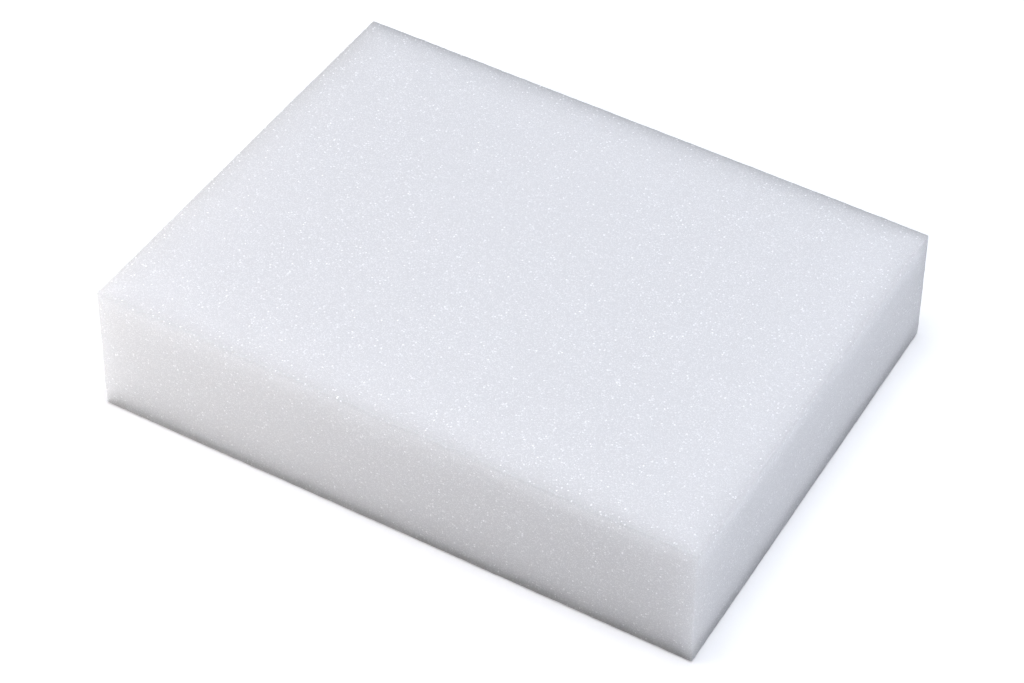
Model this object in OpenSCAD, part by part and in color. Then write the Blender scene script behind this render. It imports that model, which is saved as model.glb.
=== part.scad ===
// Tiling sponge: one block of fine-celled foam, knife-cut on all six sides.
//
// The block lies on its base face. The origin is the middle of that face,
// +X runs along the length to the right end, +Y across the width to the back,
// and +Z up through the height. All sizes are in millimetres.
//
// It is made as the real one is: a rough piece of foam, and one straight cut
// for each face. Foam gives way under the knife, so the cuts are never quite
// square. The base is a true rectangle, the top face falls a little towards
// the right and the back, and each side face leans in a little on its way up.

/* [Block] */
// Length of the base face, from the left edge to the right edge
block_length = 180; // [100:1:300]
// Width of the base face, from the front edge to the back edge
block_width = 140; // [60:1:220]
// Height of the top face above the base face, at the middle of the block
block_height = 39; // [20:0.5:90]
// How far the torn cells along a cut edge reach onto the two faces beside it
edge_break = 0.4; // [0.1:0.1:3]

/* [Cut of the top face] */
// How much lower the top face lies at the right end than at the left end
top_drop_right = 2.2; // [0:0.1:5]
// How much lower the top face lies at the back edge than at the front edge
top_drop_back = 1.7; // [0:0.1:5]

/* [Cut of the side faces] */
// How far the left face leans into the block over its height
left_lean = 0.2; // [0:0.1:4]
// How far the right face leans into the block over its height
right_lean = 1.2; // [0:0.1:4]
// How far the front face leans into the block over its height
front_lean = 0.4; // [0:0.1:4]
// How far the back face leans into the block over its height
back_lean = 0.6; // [0:0.1:4]

/* [Hidden] */

// The colour of clean, undyed foam
foam_colour = "#F3F4F7";

// Foam left on each side of the rough piece for the knife to take off. It has
// to reach above the highest corner of the tilted top face.
rough_allowance = 2 + (top_drop_right + top_drop_back) / 2;

// Reach of a cut in every direction: well past the rough piece
cut_reach = 4 * (block_length + block_width + block_height);

// A straight cut, written as [normal, distance]: the unit vector that points
// out of the block, and how far along it the plane lies from the origin.
function cut_plane(point, outwards) =
    let (normal = outwards / norm(outwards))
        [normal, normal * point];

// The middle of each side's bottom edge, which the side's cut passes through
left_foot = [-block_length / 2, 0, 0];
right_foot = [block_length / 2, 0, 0];
front_foot = [0, -block_width / 2, 0];
back_foot = [0, block_width / 2, 0];

// One cut for each face. A face that leans in also looks up a little, by the
// lean for every block_height, and the top looks towards the side it falls to.
face_cuts = [
    cut_plane([0, 0, 0], [0, 0, -1]),
    cut_plane([0, 0, block_height], [top_drop_right / block_length, top_drop_back / block_width, 1]),
    cut_plane(left_foot, [-1, 0, left_lean / block_height]),
    cut_plane(right_foot, [1, 0, right_lean / block_height]),
    cut_plane(front_foot, [0, -1, front_lean / block_height]),
    cut_plane(back_foot, [0, 1, back_lean / block_height])
];

// Two faces share an edge unless they look in opposite directions.
function share_edge(a, b) = a[0] * b[0] > -0.5;

// The flat that the torn cells leave along the edge between two faces. It
// looks halfway between them. A plane through the edge itself would lie at
// (a[1] + b[1]) / width, and the flat lies below it by the depth that makes it
// reach edge_break onto either face.
function edge_flat(a, b) =
    let (
        sum = a[0] + b[0],
        width = norm(sum),
        half_turn = acos(a[0] * b[0]) / 2,
        depth = edge_break * sin(half_turn)
    )
        [sum / width, (a[1] + b[1]) / width - depth];

// One flat for each of the twelve edges
last_face = len(face_cuts) - 1;
edge_cuts = [
    for (i = [0 : last_face - 1], j = [i + 1 : last_face])
        if (share_edge(face_cuts[i], face_cuts[j]))
            edge_flat(face_cuts[i], face_cuts[j])
];

// The rough piece of foam that the block is cut from
module rough_piece() {
    translate([
        -block_length / 2 - rough_allowance,
        -block_width / 2 - rough_allowance,
        -rough_allowance
    ])
        cube([
            block_length + 2 * rough_allowance,
            block_width + 2 * rough_allowance,
            block_height + 2 * rough_allowance
        ]);
}

// All that one cut takes off: a cube that stands on the cut's plane and is
// turned until its upright axis points along the cut's normal
module beyond(cut) {
    normal = cut[0];
    distance = cut[1];
    translate(distance * normal)
        rotate([0, acos(normal.z), atan2(normal.y, normal.x)])
            translate([-cut_reach / 2, -cut_reach / 2, 0])
                cube(cut_reach);
}

module foam_block() {
    color(foam_colour)
        difference() {
            rough_piece();
            for (cut = concat(face_cuts, edge_cuts))
                beyond(cut);
        }
}

foam_block();
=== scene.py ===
# %% [markdown]
# # A tiling sponge
#
# The object is one block of white foam, cut flat on all six sides with a long
# blade. There is nothing on it to draw the eye: no seam, no handle, no print.
# What makes it look like foam comes from three things, and this lesson takes
# them in turn:
#
# * the shape of a knife-cut block, whose edges are crisp but never perfect,
# * a surface of thousands of small opened cells, and
# * light that goes into the foam and comes out again somewhere else.
#
# The construction model is loaded first as a fixed frame. It has the true size
# and the true cut planes, so everything made here is measured from it.

# %% Load the frame
import math

import bpy
import numpy as np
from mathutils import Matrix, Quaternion, Vector, noise


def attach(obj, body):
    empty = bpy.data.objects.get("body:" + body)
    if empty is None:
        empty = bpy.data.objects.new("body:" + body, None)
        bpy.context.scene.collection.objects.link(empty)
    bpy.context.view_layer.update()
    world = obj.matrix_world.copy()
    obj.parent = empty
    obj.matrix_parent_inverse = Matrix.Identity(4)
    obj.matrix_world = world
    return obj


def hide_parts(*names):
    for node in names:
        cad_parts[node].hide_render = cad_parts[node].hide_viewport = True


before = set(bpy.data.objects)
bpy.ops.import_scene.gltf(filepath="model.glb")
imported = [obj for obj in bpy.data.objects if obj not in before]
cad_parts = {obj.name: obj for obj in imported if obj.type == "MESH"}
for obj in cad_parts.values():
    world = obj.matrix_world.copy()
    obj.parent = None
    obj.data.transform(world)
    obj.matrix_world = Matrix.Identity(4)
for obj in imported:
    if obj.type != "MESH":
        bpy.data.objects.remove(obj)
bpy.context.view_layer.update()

MM = 0.001                 # one millimetre in metres

# %% [markdown]
# ## The six cuts
#
# Foam gives way under the blade, so no two faces of the block are quite square
# to each other. The frame's solid holds the true planes. Each one is found by
# asking for the largest face that looks most nearly along an axis. A sharp
# corner is where three of the planes meet.
#
# Reading the planes from the solid, and not writing the angles here again,
# keeps the two models the same when the block's size or its cuts are changed.

# %% Find the cut planes and the corners
def cut_plane(mesh, axis, side):
    """The plane (normal, distance) of the big face that looks along an axis."""
    def facing(polygon):
        return polygon.normal[axis] * side * polygon.area
    face = max(mesh.polygons, key=facing)
    normal = np.array(face.normal)
    return normal, float(normal @ np.array(face.center))


def meeting_point(planes):
    """The point that lies on three planes."""
    normals = np.array([normal for normal, _ in planes])
    return np.linalg.solve(normals, [distance for _, distance in planes])


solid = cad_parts["foam_block"].data
planes = [[cut_plane(solid, axis, side) for side in (-1, 1)] for axis in range(3)]
corners = np.array([[[meeting_point([planes[0][i], planes[1][j], planes[2][k]])
                      for k in (0, 1)] for j in (0, 1)] for i in (0, 1)])
size = np.array([corners[1, :, :, 0].mean() - corners[0, :, :, 0].mean(),
                 corners[:, 1, :, 1].mean() - corners[:, 0, :, 1].mean(),
                 corners[:, :, 1, 2].mean() - corners[:, :, 0, 2].mean()])
print("heights of the top corners, mm:", (corners[:, :, 1, 2] / MM).round(1).tolist())

# %% [markdown]
# ## A skin fine enough for foam
#
# The block could be a cube with a bevel and a bump map, but its outline would
# then be a ruler's edge. Real foam has a surface of opened cells that can be
# felt, and its edges are nibbled. Such a shape has to be in the mesh, so the
# skin is a dense net: points over all six faces, less than a millimetre apart,
# and closer beside the edges, where the surface turns.
#
# The net is laid out on a plain box of the block's average size. It is bent to
# the true cut planes later, so the work in between stays simple.

# %% Where the lines of the net lie
NET_STEP = 0.94 * MM       # between neighbouring points on a face
EDGE_BAND = 0.9 * MM       # the strip beside an edge that gets closer points
EDGE_LINES = 4             # how many lines of points lie in that strip


def net_lines(length):
    """Where the lines of points lie across one side of the block."""
    edge = np.linspace(0, EDGE_BAND, EDGE_LINES, endpoint=False)
    middle_steps = round((length - 2 * EDGE_BAND) / NET_STEP)
    middle = np.linspace(EDGE_BAND, length - EDGE_BAND, middle_steps + 1)
    return np.concatenate([edge, middle, (length - edge)[::-1]])


lines = [net_lines(length) for length in size]
counts = [len(line) for line in lines]
print("lines along X, Y and Z:", counts)

# %% Lay out the net
def on_a_face(counts):
    """True for the points of a full lattice that lie on one of its six faces."""
    skin = np.zeros(counts, bool)
    for axis in range(3):
        for side in (0, -1):
            np.moveaxis(skin, axis, 0)[side] = True
    return skin


def net_squares(index):
    """The squares between the points of all six faces, each turned outwards."""
    squares = []
    for axis in range(3):
        for side in (0, -1):
            sheet = np.take(index, side, axis=axis)
            square = [sheet[:-1, :-1], sheet[1:, :-1], sheet[1:, 1:], sheet[:-1, 1:]]
            if (side == 0) != (axis == 1):
                square.reverse()
            squares.append(np.stack(square, axis=-1).reshape(-1, 4))
    return np.concatenate(squares)


on_skin = on_a_face(counts)
index = np.full(counts, -1)
index[on_skin] = np.arange(on_skin.sum())
flat_points = np.stack(np.meshgrid(*lines, indexing="ij"), axis=-1)[on_skin]
squares = net_squares(index)
print("points:", len(flat_points), "triangles:", 2 * len(squares))

# %% [markdown]
# ## Edges
#
# The blade leaves an edge sharp, and then single cells tear off it. So the edge
# is a small round of about one cell's radius, and that radius changes along its
# length. A bevel would give one even round. Here every point near an edge is
# pulled onto a round of its own radius, which smooth noise gives.

# %% Round the edges
EDGE_RADIUS = 0.45 * MM
EDGE_VARIES = 0.45         # share by which the radius changes along an edge
NIBBLE_LENGTH = 1.7 * MM   # from one nibble in an edge to the next
SEED_SHIFT = (1, 2.3, 3.7)  # how far a seed of 1 moves a noise pattern along X, Y and Z


def noise_place(point, length, seed):
    """A point's place in a noise pattern of a given scale."""
    return Vector(point) / length + Vector([shift * seed for shift in SEED_SHIFT])


def smooth_noise(points, length, seed):
    """Smooth noise from -1 to 1 that changes over a given length."""
    return np.array([noise.noise(noise_place(point, length, seed)) for point in points.tolist()])


radius = EDGE_RADIUS * (1 + EDGE_VARIES * smooth_noise(flat_points, NIBBLE_LENGTH, seed=11))
radius = radius[:, None]
core_points = np.clip(flat_points, radius, size - radius)
outwards = flat_points - core_points
outwards /= np.linalg.norm(outwards, axis=1, keepdims=True)
print("edge radius, mm:", (radius.min() / MM).round(2), "to", (radius.max() / MM).round(2))

# %% [markdown]
# ## Opened cells
#
# A long blade wanders by a few hundredths of a millimetre, and each larger cell
# that it opens leaves a small pit. Both go inwards from the cut plane, as on the
# real block, so nothing outgrows the frame. The pits are a Voronoi pattern: the
# difference between the distances to the two nearest cell middles is 0 on the
# wall between two cells and grows towards the middle of a cell.
#
# The smallest cells are finer than the net, so they are left to the material.

# %% Open the larger cells
WANDER_DEPTH = 0.10 * MM   # how far the blade wanders
WANDER_LENGTH = 28 * MM    # over what length it does so
CELL_DEPTH = 0.10 * MM     # depth of the larger opened cells
CELL_SIZE = 1.9 * MM       # from one larger cell to the next


def cell_pits(points, length, seed):
    """From 0 on the walls between cells to 1 in the middle of a cell."""
    nearest = np.array([noise.voronoi(noise_place(point, length, seed))[0][:2]
                        for point in points.tolist()])
    return np.clip(nearest[:, 1] - nearest[:, 0], 0, 1)


wander = (1 + smooth_noise(flat_points, WANDER_LENGTH, seed=5)) / 2  # from 0 to 1
depth = WANDER_DEPTH * wander + CELL_DEPTH * cell_pits(flat_points, CELL_SIZE, seed=7)
skin_points = core_points + outwards * (radius - depth[:, None])
print("deepest pit, mm:", round(depth.max() / MM, 3))

# %% [markdown]
# ## Bend the net to the cut planes
#
# Each point has a share of the way across the box along X, Y and Z. The same
# shares between the block's true corners give its place on the real block. This
# keeps flat faces flat, which a lattice modifier would also do, but here the
# corners are exact.
#
# The mesh then takes the place of the frame's plain solid. It is one piece with
# one slot, as the sponge is one piece of foam.

# %% Make the block
def between_corners(points):
    """Moves points of the plain box to their places in the true block."""
    share = points / size
    placed = np.zeros_like(points)
    for i in (0, 1):
        for j in (0, 1):
            for k in (0, 1):
                weight = np.ones(len(points))
                for axis, end in enumerate((i, j, k)):
                    weight *= share[:, axis] if end else 1 - share[:, axis]
                placed += weight[:, None] * corners[i, j, k]
    return placed


mesh = bpy.data.meshes.new("foam_skin")
mesh.from_pydata(between_corners(skin_points).tolist(), [], squares.tolist())
mesh.polygons.foreach_set("use_smooth", [True] * len(mesh.polygons))
mesh.update()
block = bpy.data.objects.new("cut_foam_block", mesh)
bpy.context.collection.objects.link(block)
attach(block, "root")
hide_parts("foam_block")
print("block:", len(mesh.vertices), "points,", len(mesh.polygons), "squares")

# %% [markdown]
# ## How far is the top edge?
#
# Beside the top edge the colour is painted a little darker, as painted shade, so the
# foam looks a little duller there, with no line where the faces meet. The material
# has to know how far each place is from that edge. The mesh can carry such a
# measure: one number for each point, which the shader blends in between. On the
# top it is the way to the nearest side. On a side it is the way up to the top, and
# counts three times, as the painted shade soon ends there.

# %% Measure the way to the top edge
SIDES_COUNT = 3            # a millimetre down a side counts as this many on the top

below_top = size[2] - flat_points[:, 2]
from_side = np.minimum(flat_points, size - flat_points)[:, :2].min(axis=1)
way_to_edge = mesh.attributes.new("way_to_top_edge", "FLOAT", "POINT")
way_to_edge.data.foreach_set("value", SIDES_COUNT * below_top + from_side)
print("longest way across the top, mm:", round(from_side[below_top < MM].max() / MM, 1))

# %% [markdown]
# ## Two helpers for materials
#
# Colours are written as they look on a screen, as sRGB hex values. Shaders
# calculate in linear light, so one function turns the first into the second by
# the standard sRGB curve. The other adds a node, sets it up and links it, so that
# a material reads as a list of what it is made of. An input with a name is given
# by it, and one without a name of its own by its number. Of a node that mixes
# colours, inputs 6 and 7 are the two colours and output 2 is the mixed one.

# %% Colours and nodes
def linear(hex_colour):
    """An sRGB hex colour as the linear red, green, blue and alpha of a shader."""
    channels = [int(hex_colour[i:i + 2], 16) / 255 for i in (1, 3, 5)]
    return [c / 12.92 if c <= 0.04045 else ((c + 0.055) / 1.055) ** 2.4 for c in channels] + [1]


def add(tree, kind, settings=None, **inputs):
    """Adds a node, sets its properties, and sets or links its inputs by name or number."""
    node = tree.nodes.new(kind)
    for name, value in (settings or {}).items():
        setattr(node, name, value)
    for name, value in inputs.items():
        socket = node.inputs[int(name[1:]) if name[1:].isdigit() else name.replace("_", " ")]
        if isinstance(value, bpy.types.NodeSocket):
            tree.links.new(value, socket)
        else:
            socket.default_value = value
    return node


def new_material(name):
    """A node material with nothing in it yet."""
    material = bpy.data.materials.new(name)
    material.use_nodes = True
    material.node_tree.nodes.clear()
    return material


print("plain white in linear light:", linear("#FFFFFF"))

# %% [markdown]
# ## Polyurethane foam, knife-cut
#
# The sponge is undyed flexible polyurethane foam with fine open cells. The
# plastic itself is almost clear. It looks white because light meets thousands
# of cell walls and wanders between them before it comes out, a few millimetres
# from where it went in. That is why the faces of a foam block seem to run into
# each other, without the hard light and dark of a plaster one. A random walk
# under the surface does the same: SCATTER_LENGTH says how far it wanders. The
# foam is undyed, so red, green and blue light all wander alike.
#
# Two more things tell foam from plaster. The mouths of the smallest cells are a
# little darker than the walls between them, which gives an even, fine grain. Its
# darker tone is partly the foam's own and partly painted shade in the cell mouths,
# laid at random over the cells. And here and there a scrap of cell wall lies flat
# on the cut and shines: a glint, which is a painted highlight, white mixed into the
# colour. Beside the top edge the colour is also painted a little darker, as shade.
# Real cells are about 0.15 mm wide and too fine to show, so the grain is drawn as
# coarse as it has to be to show at all.

# %% What the foam's grain is made of
FOAM_SHADOW = "#D9D9D9"    # the mouths of the smallest cells, partly painted shade
FOAM_LIGHT = "#F5F5F5"     # the walls between them
PAINTED_GLINT_WHITE = "#FFFFFF"    # painted highlight: a scrap of cell wall that shines
GRAIN_SIZE = 0.19 * MM     # drawn coarser than the real cells
GRAIN_CURVE = 5.0          # above 1, more of the grain is shadow than light
GLINTS_APART = 0.6 * MM
GLINT_RADIUS = 0.28 * MM
GLINT_RIM = 0.9            # share of the radius inside which a glint is full
GLINTS_MISSING = 0.9       # share of the places that hold no glint
PAINTED_EDGE_DARKENING = 0.2            # painted shade: share by which the colour is darkened at the top edge
PAINTED_EDGE_REACH = 3.5 * MM      # the painted shade has fallen to a third this far from the edge


def scattered_cells(tree, place, apart):
    """Cells a given distance apart: a random number for each, and how far its middle is."""
    cells = add(tree, "ShaderNodeTexVoronoi", {"feature": "F1"}, Vector=place, Scale=1 / apart)
    number = add(tree, "ShaderNodeSeparateColor", Color=cells.outputs["Color"])
    return number.outputs["Red"], cells.outputs["Distance"]


def painted_edge_shade(tree):
    """Painted shade beside the top edge: the share of the colour that is kept, 1 is all of it."""
    way = add(tree, "ShaderNodeAttribute", {"attribute_name": "way_to_top_edge"})
    share = add(tree, "ShaderNodeMath", {"operation": "DIVIDE"}, _0=way.outputs["Fac"], _1=-PAINTED_EDGE_REACH)
    lost = add(tree, "ShaderNodeMath", {"operation": "EXPONENT"}, _0=share.outputs[0])
    left = add(tree, "ShaderNodeMath", {"operation": "MULTIPLY_ADD"}, _0=lost.outputs[0],
               _1=-PAINTED_EDGE_DARKENING, _2=1.0)
    return left.outputs[0]


def foam_colour(tree, grain):
    """Each small cell's tone between the foam's two tones, partly painted shade, and darker by painted
    shade beside the top edge.
    """
    shade = add(tree, "ShaderNodeMath", {"operation": "POWER"}, _0=grain, _1=GRAIN_CURVE)
    mix = add(tree, "ShaderNodeMix", {"data_type": "RGBA"}, Factor=shade.outputs[0],
              _6=linear(FOAM_SHADOW), _7=linear(FOAM_LIGHT))
    duller = add(tree, "ShaderNodeVectorMath", {"operation": "SCALE"}, _0=mix.outputs[2],
                 Scale=painted_edge_shade(tree))
    return duller.outputs[0]


def painted_glints(tree, place):
    """From 0 to 1 where a painted highlight, a shining scrap of cell wall, is mixed into the colour.
    """
    chance, distance = scattered_cells(tree, place, GLINTS_APART)
    reach = GLINT_RADIUS / GLINTS_APART
    brightness = add(tree, "ShaderNodeMapRange", Value=chance, From_Min=GLINTS_MISSING, From_Max=1.0)
    spot = add(tree, "ShaderNodeMapRange", Value=distance, From_Min=reach,
               From_Max=GLINT_RIM * reach)
    both = add(tree, "ShaderNodeMath", {"operation": "MULTIPLY"}, _0=brightness.outputs["Result"],
               _1=spot.outputs["Result"])
    return both.outputs[0]


print("grain drawn at", GRAIN_SIZE / MM, "mm, places for glints", GLINTS_APART / MM, "mm apart")

# %% Put the foam together
SCATTER_LENGTH = 28 * MM   # the random walk's scale: light wanders a few millimetres
SCATTER_RED_GREEN_BLUE = (1.0, 1.0, 1.0)   # shares of that length
FOAM_ROUGHNESS = 0.8       # the cut faces have no sheen
FOAM_IOR = 1.3             # between polyurethane, 1.5, and the air in its cells
BUMP_STRENGTH = 0.3
BUMP_DEPTH = 0.2 * MM


def knife_cut_foam():
    """Undyed polyurethane foam with its cells cut open."""
    material = new_material("knife_cut_polyurethane_foam")
    tree = material.node_tree
    place = add(tree, "ShaderNodeTexCoord").outputs["Object"]
    grain, hollow = scattered_cells(tree, place, GRAIN_SIZE)
    # the glints are a painted highlight: white mixed into the foam's own colour
    colour = add(tree, "ShaderNodeMix", {"data_type": "RGBA"}, Factor=painted_glints(tree, place),
                 _6=foam_colour(tree, grain), _7=linear(PAINTED_GLINT_WHITE))
    bump = add(tree, "ShaderNodeBump", Height=hollow, Strength=BUMP_STRENGTH, Distance=BUMP_DEPTH)
    foam = add(tree, "ShaderNodeBsdfPrincipled", Base_Color=colour.outputs[2],
               Roughness=FOAM_ROUGHNESS, IOR=FOAM_IOR, Normal=bump.outputs["Normal"],
               Subsurface_Weight=1.0, Subsurface_Radius=SCATTER_RED_GREEN_BLUE,
               Subsurface_Scale=SCATTER_LENGTH)
    add(tree, "ShaderNodeOutputMaterial", Surface=foam.outputs["BSDF"])
    return material


block.data.materials.append(knife_cut_foam())
print("material:", block.data.materials[0].name)

# %% [markdown]
# ## The floor
#
# The sponge lies on a wide sheet of matt white paper. Paper gives back nearly
# nine tenths of the light, and that fills the foot of the block from below. The
# rough cut only touches it here and there, so a hair of light gets under the
# block too. But the light that shows the foam well isn't quite enough to make
# paper plain white, and less of it reaches the far end. So the paper also has a
# glow that only the camera, mirrors and glass see. Beside the block it is weak
# and lets the soft shadow at the foot show. Further out it grows to a full white.

# %% Lay the floor
PAPER_WHITE = "#F0F0F0"
NEAR_GLOW = 0.22           # what is added beside the block, of a full white
FAR_GLOW = 1.0
GLOW_GROWS_FROM = 0.15     # metres from the middle of the block
GLOW_FULL_AT = 0.5         # metres from the middle of the block
FLOOR_REACH = 3.0          # metres from the middle to each side
PAPER_GAP = 0.25 * MM      # cut foam only touches paper here and there


def seen(tree):
    """1 for what the camera sees, straight or in a mirror or glass, and 0 for other light."""
    rays = add(tree, "ShaderNodeLightPath").outputs
    direct = add(tree, "ShaderNodeMath", {"operation": "MAXIMUM"}, _0=rays["Is Camera Ray"],
                 _1=rays["Is Glossy Ray"])
    either = add(tree, "ShaderNodeMath", {"operation": "MAXIMUM"}, _0=direct.outputs[0],
                 _1=rays["Is Transmission Ray"])
    return either.outputs[0]


def white_paper():
    """Matt paper, with a glow that grows outwards and that no matt thing is lit by."""
    material = new_material("matt_white_paper")
    tree = material.node_tree
    place = add(tree, "ShaderNodeTexCoord").outputs["Object"]
    out = add(tree, "ShaderNodeVectorMath", {"operation": "LENGTH"}, _0=place)
    grown = add(tree, "ShaderNodeMapRange", Value=out.outputs["Value"], From_Min=GLOW_GROWS_FROM,
                From_Max=GLOW_FULL_AT, To_Min=NEAR_GLOW, To_Max=FAR_GLOW)
    glow = add(tree, "ShaderNodeMath", {"operation": "MULTIPLY"}, _0=seen(tree),
               _1=grown.outputs["Result"])
    matt = add(tree, "ShaderNodeBsdfDiffuse", Color=linear(PAPER_WHITE))
    white = add(tree, "ShaderNodeEmission", Color=linear("#FFFFFF"), Strength=glow.outputs[0])
    both = add(tree, "ShaderNodeAddShader", _0=matt.outputs["BSDF"], _1=white.outputs["Emission"])
    add(tree, "ShaderNodeOutputMaterial", Surface=both.outputs["Shader"])
    return material


far = FLOOR_REACH
floor_mesh = bpy.data.meshes.new("floor")
low = -PAPER_GAP
floor_mesh.from_pydata([(-far, -far, low), (far, -far, low), (far, far, low), (-far, far, low)],
                       [], [(0, 1, 2, 3)])
floor_mesh.materials.append(white_paper())
floor = bpy.data.objects.new("floor", floor_mesh)
bpy.context.collection.objects.link(floor)
print("floor:", 2 * FLOOR_REACH, "m wide")

# %% [markdown]
# ## Lamps
#
# White on white is the hardest thing to light: only a little difference between
# the faces tells the shape. One large softbox hangs straight above and makes the
# top the lightest face. A weaker one, low at the right, keeps that side from
# going grey. Both are as cool as daylight. The front gets its light from a small
# lit card that stands close by at the left, so it grows duller to the right, and
# a small warm lamp above the card takes the blue out of it.

# %% Set up the lamps
def direction(azimuth, elevation):
    """Unit vector towards a place on the sky. Azimuth 0 is in front, 90 at the right."""
    a, e = math.radians(azimuth), math.radians(elevation)
    return Vector((math.sin(a) * math.cos(e), -math.cos(a) * math.cos(e), math.sin(e)))


def softbox(name, azimuth, elevation, distance, width, power, colour):
    """A square area lamp that looks at the block. Degrees, metres and watts."""
    light = bpy.data.lights.new(name, "AREA")
    light.shape = "SQUARE"
    light.size = width
    light.energy = power
    light.color = linear(colour)[:3]
    lamp = bpy.data.objects.new(name, light)
    towards = direction(azimuth, elevation)
    lamp.location = towards * distance
    lamp.rotation_mode = "QUATERNION"
    lamp.rotation_quaternion = towards.to_track_quat("Z", "Y")
    bpy.context.collection.objects.link(lamp)
    return lamp


lamps = [
    softbox("overhead_softbox", azimuth=0, elevation=89, distance=1.0, width=0.6,
            power=10.2, colour="#F1F5FF"),
    softbox("low_right_softbox", azimuth=90, elevation=25, distance=1.0, width=0.6,
            power=3.2, colour="#EFF3FF"),
    softbox("close_left_lamp", azimuth=-45, elevation=25, distance=0.45, width=0.25,
            power=0.46, colour="#FFE9D8"),
    softbox("close_left_card", azimuth=-45, elevation=8, distance=0.4, width=0.1,
            power=0.33, colour="#EBF6FF"),
]
print("lamps:", {lamp.name: lamp.data.energy for lamp in lamps})

# %% [markdown]
# ## Surroundings and view
#
# The softboxes give all the light, so the surroundings give none. They are a
# plain white to the camera, to mirrors and to glass, like the floor. The
# "Standard" view shows colours as they are, without a film look.

# %% Surroundings
world = bpy.data.worlds.new("white_studio")
world.use_nodes = True
world.node_tree.nodes.clear()
sky = add(world.node_tree, "ShaderNodeBackground", Color=linear("#FFFFFF"),
          Strength=seen(world.node_tree))
add(world.node_tree, "ShaderNodeOutputWorld", Surface=sky.outputs["Background"])
bpy.context.scene.world = world
bpy.context.scene.view_settings.view_transform = "Standard"
print("view:", bpy.context.scene.view_settings.view_transform)

# %% [markdown]
# ## Camera
#
# A long lens from a normal distance keeps the upright edges nearly parallel. The
# camera looks down at about 44 degrees, which shows three faces, and it is
# rolled a little, as one held by hand is.

# %% Set up the camera
CAMERA_AIM = Vector((3.2, -10.3, 20.0)) * MM
CAMERA_DISTANCE = 787.6 * MM
CAMERA_AZIMUTH = 28.58
CAMERA_ELEVATION = 44.03
CAMERA_ROLL = 1.65
LENS = 102.33              # focal length in millimetres
SENSOR_WIDTH = 36          # millimetres

camera = bpy.data.objects.new("camera", bpy.data.cameras.new("camera"))
camera.data.sensor_width = SENSOR_WIDTH
camera.data.lens = LENS
back = direction(CAMERA_AZIMUTH, CAMERA_ELEVATION)
camera.location = CAMERA_AIM + back * CAMERA_DISTANCE
camera.rotation_mode = "QUATERNION"
level = (-back).to_track_quat("-Z", "Y")
camera.rotation_quaternion = level @ Quaternion((0, 0, 1), math.radians(CAMERA_ROLL))
bpy.context.collection.objects.link(camera)
bpy.context.scene.camera = camera
print("camera at, mm:", [round(c / MM) for c in camera.location])
